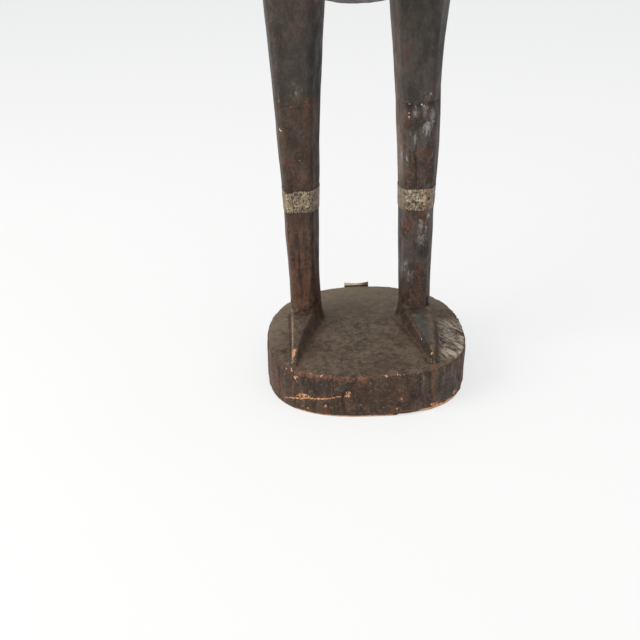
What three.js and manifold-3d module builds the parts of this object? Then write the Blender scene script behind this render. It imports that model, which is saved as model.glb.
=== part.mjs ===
// A standing hornbill carved from one log: a low rounded base, two long plain legs on wedge
// feet, a full belly, board wings, a tail, and a long bill that curves down to the belly.
// A strip of sheet metal is wrapped round each leg, and a short piece is fixed to the back of
// the base. Millimetres, +Z up, the bird faces -Y, and X = 0 is its own plane of symmetry.
// The origin lies on the underside of the base.
import * as THREE from "three";
import { mergeVertices } from "three/addons/utils/BufferGeometryUtils.js";
import Module from "manifold-3d";

const wasm = await Module();
wasm.setup();

// Base: a rounded plan, flatter in front, cut a little to one side of the bird's middle.
const BASE_TOP = 71;
const BASE_HALF_WIDTH = 160.7;
const BASE_FRONT = 147;
const BASE_BACK = 179.5;
const BASE_SHIFT_X = 6.4;
const BASE_WIDEST_Y = -15;
const BASE_POWER = { frontLeft: 2.55, frontRight: 2.66, backLeft: 2.3, backRight: 2.38 };
// Rings of the base: height, inset, how far the front swells out, and a sideways shift.
const BASE_RINGS = [
  [0, 1.6, 4, -0.8],
  [3, 0.3, 4, -0.8],
  [35, 0, 2, -0.4],
  [BASE_TOP - 3, -0.9, 0, 1],
  [BASE_TOP, 1.2, 0, 1],
];
const BASE_SIDES = 64;

// Legs: upright and parallel, wider towards the hips, hewn to flats with a broad one in front.
// Each row holds a height and how far the inner and outer sides stand from the middle plane.
const LEG_Y = 41;
const LEG_DEPTH_SHARE = 0.97;
const LEGS = {
  left: [
    [66, 63, 116],
    [110, 63.8, 115.6],
    [145, 64.9, 116],
    [177, 64.9, 117.2],
    [225, 63.7, 119.5],
    [270, 63.2, 120.3],
    [331, 61, 123.7],
    [375, 60, 126.2],
    [418, 58, 128],
    [460, 56, 130.3],
    [530, 51.5, 134.5],
    [600, 46, 139],
    [660, 46, 139],
    [705, 54, 126],
    [745, 70, 106],
  ],
  right: [
    [66, 65.4, 118.6],
    [123, 65.4, 118.7],
    [172, 64.6, 119.3],
    [220, 63.3, 120],
    [266, 62.8, 120.4],
    [326, 61.8, 124.5],
    [370, 60.2, 126.7],
    [413, 58.3, 126.9],
    [441, 57.4, 126.5],
    [460, 56.2, 125.8],
    [530, 51.5, 130],
    [600, 46, 138],
    [660, 46, 139],
    [705, 54, 126],
    [745, 70, 106],
  ],
};
const FLAT_DEPTH = 0.8;
const FLAT_INNER = { left: 0.44, right: 0.3 };
const FLAT_OUTER = { left: 0.16, right: 0.4 };
const FLAT_REAR = 0.5;
const EDGE_SOFT = 0.14;

// Feet: long wedges that run out to a toe at the rim of the base. Each row holds the place
// along Y, where the sides meet the base (inner, outer), the flat top's two edges and its
// height above the base. The last step of each slopes down over the toe.
const FEET = {
  left: [
    [LEG_Y, 62, 117.5, 73, 114, 30],
    [15, 63.5, 118, 77, 115, 25],
    [-35, 80, 116.5, 92.5, 113, 19],
    [-97, 94, 115.5, 104.5, 111.7, 12],
    [-128, 103, 116, 104.5, 114, 1.5],
  ],
  right: [
    [LEG_Y, 62, 120, 73, 117, 30],
    [15, 66, 124, 78, 118.5, 25],
    [-22, 76, 125, 86, 118.5, 21],
    [-76, 89.5, 122, 101.5, 114, 13],
    [-104, 95.5, 118, 107, 110.5, 9],
    [-138, 102, 111, 104.5, 107.5, 1.5],
  ],
};
const HEEL_HEIGHT = 52;
const HEEL_SPREAD = 4.5;

// Sheet metal: a strip round each leg, and a short piece of it on the base's back rim.
const STRIP_HEIGHT = 37;
const STRIP_THICK = 1;
const STRIP_GAP = 0.3;
const BAND_BOTTOM = { left: 270, right: 268 };
const PATCH_WIDTH = 43;
const PATCH_RISE = 7.5;
const PATCH_DIP = 5.5;
const PATCH_OFF = 1.7;

// Trunk: a full belly that tapers into the neck. Each row of TRUNK holds the height, half the
// width, the front, the back and the line along Y where the section is widest.
const TRUNK = [
  [588, 34, 0, 62, 28],
  [596, 74, -38, 86, 27],
  [616, 106, -76, 97, 25],
  [662, 134, -114, 103, 18],
  [728, 142, -134, 106, 8],
  [800, 127, -127, 105, 4],
  [890, 99, -95, 103, 10],
  [980, 75, -61, 99, 22],
  [1060, 55, -31, 87, 29],
  [1142, 43, -17, 65, 25],
  [1242, 38, -28, 48, 10],
  [1332, 40, -56, 30, -13],
  [1402, 42, -80, 14, -34],
];
const TRUNK_SIDES = 32;
const TRUNK_STEPS = 26;

// Wings and tail: boards with fluted feathers.
const WING_THICK = 30;
const WING_REACH = 238;
const WING_TOP = 1047;
const WING_BOTTOM = 674;
const TAIL_TOP = 862;
const TAIL_BOTTOM = 664;
const FEATHERS = 5;
const FLUTE_DEPTH = 5;
const SCALLOP = 9;

// Head and bill.
const HEAD_SIDES = 20;
const HEAD_Z = 1392;
const HEAD_Y = -42;
const BILL_SIDES = 16;
const BILL_STEPS = 20;
const EYE_RADIUS = 13;
const EYE_REACH = 51;

const wood = new THREE.MeshStandardMaterial({ color: 0x3f322b, roughness: 0.6, metalness: 0 });
const sheetMetal = new THREE.MeshStandardMaterial({ color: 0x96876b, roughness: 0.5, metalness: 0.8 });

// Values that run smoothly through stations [place, a, b, ...], the places rising.
function through(stations) {
  const last = stations.length - 1;
  return (place) => {
    let i = 0;
    while (i < last - 1 && place > stations[i + 1][0]) i += 1;
    const [p0, p1, p2, p3] = [Math.max(i - 1, 0), i, i + 1, Math.min(i + 2, last)].map(
      (k) => stations[k],
    );
    const span = p2[0] - p1[0];
    const t = THREE.MathUtils.clamp((place - p1[0]) / span, 0, 1);
    return p1.slice(1).map((value, k) => {
      const before = p0 === p1 ? 0 : (p2[k + 1] - p0[k + 1]) / (p2[0] - p0[0]);
      const after = p3 === p2 ? 0 : (p3[k + 1] - value) / (p3[0] - p1[0]);
      const rise = p2[k + 1] - value;
      const [m1, m2] = [before * span, after * span];
      return value + t * (m1 + t * (3 * rise - 2 * m1 - m2 + t * (m1 + m2 - 2 * rise)));
    });
  };
}

// The power of a sine or cosine that squares off an ellipse, keeping its sign.
function squared(value, power) {
  return Math.sign(value) * Math.abs(value) ** (2 / power);
}

// A closed skin over rings of equal count, turned to face out. The ends are closed by joining
// each point to the one across from it.
function skin(rings) {
  const count = rings[0].length;
  const points = rings.flat();
  const index = [];
  const quad = (a, b, c, d) => index.push(a, b, c, a, c, d);
  for (let i = 0; i < rings.length - 1; i += 1) {
    for (let j = 0; j < count; j += 1) {
      const next = (j + 1) % count;
      const [here, there] = [i * count, (i + 1) * count];
      quad(here + j, here + next, there + next, there + j);
    }
  }
  const end = (rings.length - 1) * count;
  for (let j = 0; j < count / 2 - 1; j += 1) {
    const across = count - 1 - j;
    quad(j, across, across - 1, j + 1);
    quad(end + j, end + j + 1, end + across - 1, end + across);
  }
  const corner = (i) => points[index[i]];
  let volume = 0;
  for (let i = 0; i < index.length; i += 3) {
    volume += corner(i).clone().cross(corner(i + 1)).dot(corner(i + 2));
  }
  if (volume < 0) index.reverse();
  const geometry = new THREE.BufferGeometry().setFromPoints(points);
  geometry.setIndex(index);
  return geometry;
}

// A geometry as a solid that can be joined and cut.
function solid(geometry) {
  const bare = geometry.clone();
  bare.deleteAttribute("normal");
  bare.deleteAttribute("uv");
  const merged = mergeVertices(bare, 1e-3);
  return new wasm.Manifold(
    new wasm.Mesh({
      numProp: 3,
      vertProperties: new Float32Array(merged.attributes.position.array),
      triVerts: new Uint32Array(merged.index.array),
    }),
  );
}

// A named mesh of a finished solid.
function meshOf(name, made, material) {
  const { vertProperties, triVerts, numProp } = made.getMesh();
  const geometry = new THREE.BufferGeometry();
  geometry.setAttribute("position", new THREE.BufferAttribute(vertProperties, numProp));
  geometry.setIndex(new THREE.BufferAttribute(triVerts, 1));
  const mesh = new THREE.Mesh(geometry, material);
  mesh.name = name;
  return mesh;
}

// A level ring with its own half-width, front and back, widest at y = middle.
function levelRing({ z, half, front, back, middle, x = 0, power, sides }) {
  return Array.from({ length: sides }, (_, k) => {
    const turn = (2 * Math.PI * (k + 0.5)) / sides;
    const [c, s] = [Math.cos(turn), Math.sin(turn)];
    const p = typeof power === "function" ? power(c, s) : power;
    const depth = s < 0 ? middle - front : back - middle;
    return new THREE.Vector3(x + half * squared(c, p), middle + depth * squared(s, p), z);
  });
}

// The base's outline at one of its rings.
function baseRing([z, inset, swell, shift]) {
  return levelRing({
    z,
    half: BASE_HALF_WIDTH - inset,
    front: BASE_WIDEST_Y - BASE_FRONT + inset - swell,
    back: BASE_WIDEST_Y + BASE_BACK - inset,
    middle: BASE_WIDEST_Y,
    x: BASE_SHIFT_X + shift,
    power: (c, s) => {
      if (s > 0) return c < 0 ? BASE_POWER.backLeft : BASE_POWER.backRight;
      return c < 0 ? BASE_POWER.frontLeft : BASE_POWER.frontRight;
    },
    sides: BASE_SIDES,
  });
}

function base() {
  return solid(skin(BASE_RINGS.map(baseRing)));
}

// A leg's outline at a height, grown by a margin: side is -1 or 1. Each corner of the hewn
// section is softened by one narrow facet.
function legRing(side, z, margin = 0) {
  const [inside, outside] = through(side < 0 ? LEGS.left : LEGS.right)(z);
  const [half, middle] = [(outside - inside) / 2, (outside + inside) / 2];
  const deep = half * LEG_DEPTH_SHARE;
  const [inner, outer, rear] = [
    half * (side < 0 ? FLAT_INNER.left : FLAT_INNER.right),
    half * (side < 0 ? FLAT_OUTER.left : FLAT_OUTER.right),
    half * FLAT_REAR,
  ];
  const [w, d] = [half + margin, deep + margin];
  const slant = half * FLAT_DEPTH;
  const corners = [
    [-w + inner, -d],
    [w - outer, -d],
    [w, -d + slant],
    [w, d - rear],
    [w - rear, d],
    [-w + rear, d],
    [-w, d - rear],
    [-w, -d + slant],
  ].map(([out, back]) => new THREE.Vector3(side * (middle + out), LEG_Y + back, z));
  const soft = half * EDGE_SOFT;
  return corners.flatMap((corner, i) => {
    const [before, after] = [corners[(i + 7) % 8], corners[(i + 1) % 8]];
    return [before, after].map((other) => {
      const step = Math.min(soft, corner.distanceTo(other) * 0.4);
      return corner.clone().add(other.clone().sub(corner).setLength(step));
    });
  });
}

function leg(side) {
  const stations = side < 0 ? LEGS.left : LEGS.right;
  return solid(skin(stations.map(([z]) => legRing(side, z))));
}

// The foot's wedge: upright four-sided sections from the middle of the leg out to the toe.
function foot(side) {
  const sunk = BASE_TOP - 5;
  const rows = side < 0 ? FEET.left : FEET.right;
  const rings = rows.map(([y, lowIn, lowOut, topIn, topOut, height]) => {
    const corners = [
      [lowIn, sunk],
      [lowOut, sunk],
      [topOut, BASE_TOP + height],
      [topIn, BASE_TOP + height],
    ];
    return corners.map(([x, z]) => new THREE.Vector3(side * x, y, z));
  });
  return solid(skin(rings));
}

// The heel: the leg spreads to meet the base at its back and inner side.
function heel(side) {
  const stations = [
    [BASE_TOP - 5, 1.35],
    [BASE_TOP + 3, 0.95],
    [BASE_TOP + 11, 0.6],
    [BASE_TOP + 24, 0.3],
    [BASE_TOP + HEEL_HEIGHT, 0],
  ];
  const [, inside, outside] = (side < 0 ? LEGS.left : LEGS.right)[0];
  const half = (outside - inside) / 2;
  const rings = stations.map(([z, share]) => {
    const spread = HEEL_SPREAD * share;
    return levelRing({
      z,
      half: half - 1 + spread,
      front: LEG_Y - 14,
      back: LEG_Y + half * LEG_DEPTH_SHARE - 1 + spread,
      middle: LEG_Y + 2,
      x: (side * (inside + outside)) / 2,
      power: 3,
      sides: 20,
    });
  });
  return solid(skin(rings));
}

// The trunk: belly, chest and neck in one run.
function trunk() {
  const at = through(TRUNK);
  const [low, high] = [TRUNK[0][0], TRUNK[TRUNK.length - 1][0]];
  const rings = Array.from({ length: TRUNK_STEPS + 1 }, (_, i) => {
    const z = low + (high - low) * (i / TRUNK_STEPS) ** 1.25;
    const [half, front, back, middle] = at(z);
    return levelRing({ z, half, front, back, middle, power: 2.15, sides: TRUNK_SIDES });
  });
  return solid(skin(rings));
}

// How deep the flutes between feathers cut, from 0 on a feather's crown to 1 between two.
function fluteAt(share, feathers) {
  return Math.abs(Math.cos(Math.PI * share * feathers)) ** 3;
}

// A wing: a flat board that leans back as it goes down and comes forward at its outer edge.
function wing(side) {
  const columns = 4 * FEATHERS;
  const root = 34;
  const lowerEdge = (share) =>
    WING_BOTTOM + 34 * (1 - share) + SCALLOP * fluteAt(share, FEATHERS);
  const upperEdge = (share) => WING_TOP - 8 * share - 62 * share ** 4;
  const rings = [0, 0.05, 0.2, 0.36, 0.42, 0.7, 0.96, 1].map((down) => {
    const face = (j, sign) => {
      const share = j / columns;
      const x = root + (WING_REACH - root) * share - 10 * share * (1 - down);
      const z = THREE.MathUtils.lerp(upperEdge(share), lowerEdge(share), down);
      const lean = 102 - 36 * ((z - WING_BOTTOM) / (WING_TOP - WING_BOTTOM)) - 24 * share;
      const fluted = THREE.MathUtils.smoothstep(down, 0.36, 0.42);
      const edge = 0.55 + 0.45 * Math.min(1, (1 - share) * 9, (1 - down) * 7, down * 9);
      const thick = WING_THICK * edge - 2 * FLUTE_DEPTH * fluted * fluteAt(share, FEATHERS) * edge;
      return new THREE.Vector3(side * x, lean + (sign * thick) / 2, z);
    };
    const ahead = Array.from({ length: columns + 1 }, (_, j) => face(j, -1));
    const behind = Array.from({ length: columns + 1 }, (_, j) => face(columns - j, 1));
    return [...ahead, ...behind];
  });
  return solid(skin(rings));
}

// The tail: a short fluted board that slopes out behind.
function tail() {
  const columns = 12;
  const [top, bottom] = [TAIL_TOP, TAIL_BOTTOM];
  const rings = [0, 0.25, 0.5, 1].map((down) => {
    const face = (j, sign) => {
      const share = j / columns;
      const x = (share - 0.5) * 2 * (38 + 22 * down);
      const lean = 84 + 62 * down;
      const fluted = THREE.MathUtils.smoothstep(down, 0.25, 0.5);
      const thick = 30 - 8 * down - 2 * FLUTE_DEPTH * fluted * fluteAt(share, 3);
      const z = THREE.MathUtils.lerp(top, bottom + SCALLOP * fluteAt(share, 3), down);
      return new THREE.Vector3(x, lean + (sign * thick) / 2, z);
    };
    const ahead = Array.from({ length: columns + 1 }, (_, j) => face(j, -1));
    const behind = Array.from({ length: columns + 1 }, (_, j) => face(columns - j, 1));
    return [...ahead, ...behind];
  });
  return solid(skin(rings));
}

// A rounded body along a curve in the plane of symmetry: sizeAt gives its half-width, half-height
// and squareness at each share of the way.
function sweep(curve, steps, sides, sizeAt) {
  const rings = Array.from({ length: steps + 1 }, (_, i) => {
    const share = i / steps;
    const centre = curve.getPoint(share);
    const along = curve.getTangent(share);
    const [half, height, power] = sizeAt(share);
    return Array.from({ length: sides }, (_, k) => {
      const turn = (2 * Math.PI * (k + 0.5)) / sides;
      const rise = height * squared(Math.sin(turn), power);
      return new THREE.Vector3(
        -half * squared(Math.cos(turn), power),
        centre.x - rise * along.y,
        centre.y + rise * along.x,
      );
    });
  });
  return solid(skin(rings));
}

// Head and bill run on one curve, given as (y, z) points from the back of the head to the tip.
const billCurve = new THREE.SplineCurve(
  [
    [HEAD_Y - 40, 6],
    [-150, -16],
    [-214, -94],
    [-243, -214],
    [-240, -346],
    [-206, -488],
    [-124, -618],
  ].map(([y, rise]) => new THREE.Vector2(y, HEAD_Z + rise)),
);

function bill() {
  const at = through([
    [0, 38, 42, 2.2],
    [0.12, 33, 39, 2.1],
    [0.35, 26, 31, 2],
    [0.65, 20, 23, 2],
    [0.9, 13, 14, 2],
    [1, 8, 8, 2],
  ]);
  return sweep(billCurve, BILL_STEPS, BILL_SIDES, at);
}

// The casque: a narrow ridge over the head and the first part of the bill.
function casque() {
  const curve = new THREE.SplineCurve([
    new THREE.Vector2(HEAD_Y + 44, HEAD_Z + 34),
    new THREE.Vector2(HEAD_Y, HEAD_Z + 58),
    new THREE.Vector2(HEAD_Y - 60, HEAD_Z + 56),
    new THREE.Vector2(HEAD_Y - 124, HEAD_Z + 12),
    new THREE.Vector2(-222, HEAD_Z - 78),
  ]);
  const at = through([
    [0, 7, 12, 2.4],
    [0.25, 12, 24, 2.6],
    [0.55, 12, 25, 2.6],
    [0.85, 9, 15, 2.4],
    [1, 5, 7, 2.2],
  ]);
  return sweep(curve, 10, 12, at);
}

function head() {
  const curve = new THREE.LineCurve(
    new THREE.Vector2(HEAD_Y + 62, HEAD_Z + 2),
    new THREE.Vector2(HEAD_Y - 74, HEAD_Z + 4),
  );
  const at = (share) => {
    const round = Math.sqrt(Math.max(0.02, 1 - (2 * share - 1) ** 2));
    return [48 * round, 56 * round, 2];
  };
  return sweep(curve, 12, HEAD_SIDES, at);
}

// A round boss on each side of the head.
function eyes() {
  const boss = new THREE.CylinderGeometry(EYE_RADIUS, EYE_RADIUS, 2 * EYE_REACH, 16);
  return solid(boss.rotateZ(Math.PI / 2).translate(0, HEAD_Y - 14, HEAD_Z + 14));
}

function hornbill() {
  const parts = [
    base(),
    ...[-1, 1].flatMap((side) => [leg(side), foot(side), heel(side), wing(side)]),
    trunk(),
    tail(),
    head(),
    bill(),
    casque(),
    eyes(),
  ];
  return parts.reduce((whole, part) => whole.add(part));
}

// A metal strip wrapped round a leg, just clear of the wood.
function legBand(side, bottom) {
  const top = bottom + STRIP_HEIGHT;
  const shell = (from, to, margin) =>
    solid(skin([from, to].map((z) => legRing(side, z, margin))));
  return shell(bottom, top, STRIP_GAP + STRIP_THICK).subtract(
    shell(bottom - 5, top + 5, STRIP_GAP),
  );
}

// The piece of strip on the back rim of the base: its free top edge is bent into a shallow dip.
function rimPatch() {
  const columns = 12;
  const rimY = (x) => {
    const power = x < BASE_SHIFT_X ? BASE_POWER.backLeft : BASE_POWER.backRight;
    const across = Math.abs((x - BASE_SHIFT_X) / BASE_HALF_WIDTH) ** power;
    return BASE_WIDEST_Y + BASE_BACK * (1 - across) ** (1 / power);
  };
  const rows = [0, 0.5, 0.76, 0.88, 1];
  const rings = rows.map((up) => {
    const face = (j, depth) => {
      const share = j / columns;
      const x = (share - 0.5) * PATCH_WIDTH;
      const dip = PATCH_DIP * Math.sin(Math.PI * share) ** 0.8;
      const top = BASE_TOP + PATCH_RISE - dip;
      const z = THREE.MathUtils.lerp(BASE_TOP + PATCH_RISE - STRIP_HEIGHT, top, up);
      return new THREE.Vector3(x, rimY(x) + PATCH_OFF + depth, z);
    };
    const outside = Array.from({ length: columns + 1 }, (_, j) => face(columns - j, STRIP_THICK));
    const inside = Array.from({ length: columns + 1 }, (_, j) => face(j, 0));
    return [...inside, ...outside];
  });
  return solid(skin(rings));
}

const group = new THREE.Group();
group.add(meshOf("hornbill", hornbill(), wood));
group.add(meshOf("left_leg_band", legBand(-1, BAND_BOTTOM.left), sheetMetal));
group.add(meshOf("right_leg_band", legBand(1, BAND_BOTTOM.right), sheetMetal));
group.add(meshOf("rim_patch", rimPatch(), sheetMetal));

export default group;
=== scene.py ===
import math

import bmesh
import bpy
import numpy as np
from mathutils import Matrix, Vector
from mathutils.bvhtree import BVHTree


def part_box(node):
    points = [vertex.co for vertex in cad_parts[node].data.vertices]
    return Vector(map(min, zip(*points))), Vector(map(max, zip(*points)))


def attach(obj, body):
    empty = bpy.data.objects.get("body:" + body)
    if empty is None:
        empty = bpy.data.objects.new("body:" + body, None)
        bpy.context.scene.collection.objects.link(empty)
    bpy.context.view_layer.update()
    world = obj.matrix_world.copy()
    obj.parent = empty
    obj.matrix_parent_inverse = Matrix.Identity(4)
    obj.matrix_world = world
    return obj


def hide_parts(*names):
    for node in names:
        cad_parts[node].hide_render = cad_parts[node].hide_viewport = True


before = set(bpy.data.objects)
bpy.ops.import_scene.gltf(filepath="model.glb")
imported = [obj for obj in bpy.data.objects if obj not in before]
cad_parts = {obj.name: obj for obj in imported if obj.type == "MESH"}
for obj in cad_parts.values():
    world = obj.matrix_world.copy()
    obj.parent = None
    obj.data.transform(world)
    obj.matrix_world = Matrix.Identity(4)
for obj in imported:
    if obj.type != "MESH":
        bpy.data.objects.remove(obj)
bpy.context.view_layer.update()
MM = 0.001

# Main measures of the carving, in millimetres: how high the base, the feet and the legs end,
# where each leg and the base have their middle, and where the rim begins.
BASE_TOP = 71
FOOT_TOP = 98
HIPS = 590
LEG_X, LEG_Y = 92, 41
BASE_X, BASE_Y, BASE_R = 6.4, -2, 160
RIM_FROM = 125
# The uneven edge of the thick dark skin on each leg.
CRUST_LEFT, CRUST_RIGHT = 455, 441.5
# Round the middle of each eye: the ring, the raised boss and the pupil.
EYE_RING, EYE_BOSS, PUPIL = 15.5, 13.5, 3.6

# The sheet metal, in millimetres: a leg strip's height and stamped length, how thick each strip
# is, and how many columns and rows of points it has.
STRIP_HEIGHT = 35.6
STRIP_RUN = 205
STRIP_THICK = 0.55
STRIP_GRID = 330, 52
SCRAP_THICK = 0.6
SCRAP_GRID = 72, 62
# From one stamped bead to the next, and from a strip's edge to its row of beads.
BEAD_STEP, BEAD_ROW = 3.4, 1.9
# From how far away the wood under a strip is felt for: beside a leg, and behind the base.
BESIDE = 80
BEHIND = 260

# How fine the worked skin is in millimetres, how many faces the finished figure may have, and
# how strongly the base and legs keep theirs.
SKIN = 1.9
FIGURE_FACES = 190_000
KEEP_FACTOR = 3e-6


# ---------------------------------------------------------------- numbers over points


def smooth(value, low, high):
    """0 below low, 1 above high, and an even turn between them."""
    t = np.clip((value - low) / (high - low), 0, 1)
    return t * t * (3 - 2 * t)


def bump_at(value, centre, half):
    """1 at the centre, fading to 0 at half a width away."""
    return np.clip(1 - np.abs(value - centre) / half, 0, 1)


TABLE = np.random.default_rng(7).uniform(-1, 1, 8192)


def noise(points, size, seed):
    """Soft noise from -1 to 1 whose lumps are about one size across."""
    place = np.asarray(points, float) / size + 31.7 * seed + 500
    cell = np.floor(place).astype(np.int64)
    t = place - cell
    t = t * t * (3 - 2 * t)
    total = np.zeros(len(place))
    for corner in np.ndindex(*(2,) * place.shape[1]):
        share = np.ones(len(place))
        key = np.zeros(len(place), np.int64)
        for axis, step in enumerate(corner):
            share *= t[:, axis] if step else 1 - t[:, axis]
            key ^= (cell[:, axis] + step) * (73856093, 19349663, 83492791)[axis]
        total += share * TABLE[key % len(TABLE)]
    return total


def rough(points, size, seed):
    """Noise with two layers of finer noise on it."""
    return sum(noise(points, size / 2**k, seed + k) / 2**k for k in range(3))


def near_path(points, path):
    """Each point's distance to a path of straight runs, and how far along it that is, 0 to 1."""
    path = np.array(path, float)
    lengths = np.linalg.norm(np.diff(path, axis=0), axis=1)
    starts = np.concatenate([[0], np.cumsum(lengths)])
    best = np.full(len(points), 1e9)
    along = np.zeros(len(points))
    for a, b, length, start in zip(path, path[1:], lengths, starts):
        t = np.clip((points - a) @ (b - a) / length**2, 0, 1)
        gap = np.linalg.norm(points - a - t[:, None] * (b - a), axis=1)
        closer = gap < best
        best = np.where(closer, gap, best)
        along = np.where(closer, (start + t * length) / starts[-1], along)
    return best, along


def rounded(path):
    """A path with its corners cut away into a smooth run."""
    path = np.array(path, float)
    for _ in range(3):
        a, b = path[:-1], path[1:]
        cut = np.stack([0.75 * a + 0.25 * b, 0.25 * a + 0.75 * b], 1).reshape(-1, path.shape[1])
        path = np.concatenate([path[:1], cut, path[-1:]])
    return path


# ---------------------------------------------------------------- meshes


class Skin:
    """The points of a mesh, in millimetres, with what is needed to carve and to mask them."""

    def __init__(self, mesh):
        self.mesh = mesh
        self.masks = {}
        count = len(mesh.vertices)
        co = np.empty(count * 3, np.float32)
        mesh.vertices.foreach_get("co", co)
        self.points = co.reshape(-1, 3).astype(float) / MM
        ends = np.empty(len(mesh.edges) * 2, np.int32)
        mesh.edges.foreach_get("vertices", ends)
        self.ends = ends.reshape(-1, 2)
        self.degree = np.bincount(self.ends.ravel(), minlength=count)

    def write(self):
        self.mesh.vertices.foreach_set("co", (self.points * MM).astype(np.float32).ravel())
        self.mesh.update()

    def normals(self):
        self.write()
        out = np.empty(len(self.points) * 3, np.float32)
        self.mesh.vertex_normals.foreach_get("vector", out)
        return out.reshape(-1, 3).astype(float)

    def around(self, values):
        """The mean of each point's neighbours."""
        a, b = self.ends.T
        count = len(self.points)
        total = np.bincount(a, values[b], count) + np.bincount(b, values[a], count)
        return total / self.degree

    def relax(self, share, rounds):
        """Evens the surface out, each point by its own share."""
        for _ in range(rounds):
            mean = np.stack([self.around(axis) for axis in self.points.T], 1)
            self.points += (mean - self.points) * share[:, None]

    def carve(self, depth):
        """Sinks the surface by a depth."""
        self.points -= self.normals() * depth[:, None]

    def mask(self, name, values):
        self.masks[name] = np.clip(values, 0, 1)

    def finish_masks(self):
        for name, values in self.masks.items():
            attribute = self.mesh.attributes.new(name, "FLOAT", "POINT")
            attribute.data.foreach_set("value", values.astype(np.float32))


def add_piece(name, mesh, node, material):
    """A finished piece that stands for a CAD node."""
    piece = bpy.data.objects.new(name, mesh)
    bpy.context.scene.collection.objects.link(piece)
    mesh.materials.clear()
    mesh.materials.append(material)
    mesh.polygons.foreach_set("use_smooth", [True] * len(mesh.polygons))
    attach(piece, "root")
    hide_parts(node)


def with_modifier(mesh, kind, kept=None, **settings):
    """The mesh as one modifier leaves it, with points that should rather be kept."""
    worked = bpy.data.objects.new("worked", mesh)
    bpy.context.scene.collection.objects.link(worked)
    modifier = worked.modifiers.new(kind, kind)
    if kept is not None:
        group = worked.vertex_groups.new(name="free")
        group.add(np.flatnonzero(kept).tolist(), 0.5, "REPLACE")
        group.add(np.flatnonzero(~kept).tolist(), 1.0, "REPLACE")
        modifier.vertex_group = group.name
        modifier.vertex_group_factor = KEEP_FACTOR
    for key, value in settings.items():
        setattr(modifier, key, value)
    view = bpy.context.evaluated_depsgraph_get()
    made = bpy.data.meshes.new_from_object(worked.evaluated_get(view))
    bpy.data.objects.remove(worked)
    return made


def joined_copy(node):
    """A CAD node's mesh with its split corners joined."""
    work = bmesh.new()
    work.from_mesh(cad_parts[node].data)
    bmesh.ops.remove_doubles(work, verts=work.verts, dist=1e-6)
    mesh = bpy.data.meshes.new(node)
    work.to_mesh(mesh)
    work.free()
    return mesh


# ---------------------------------------------------------------- the carved figure

# Marks of age, as points near the wood in millimetres. Each is settled on the wood's skin.
CRACK = [
    (-125.8, -119.3, 11.7),
    (-117.9, -127.8, 15.8),
    (-108.5, -135.7, 20.3),
    (-97.7, -142.8, 24.6),
    (-87.2, -148.4, 27.2),
    (-78.3, -152.3, 28.0),
    (-69.4, -155.2, 29.0),
    (-60.5, -157.8, 31.1),
    (-51.6, -159.6, 32.9),
    (-42.6, -161.0, 35.2),
    (-32.4, -162.3, 37.5),
    (-27.9, -162.7, 39.1),
]
SPLINTER = [
    (-107.5, -136.3, 23.5),
    (-102.0, -140.0, 29.0),
    (-97.6, -142.6, 30.5),
    (-90.2, -146.8, 31.5),
    (-84.2, -149.6, 29.6),
]
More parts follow.
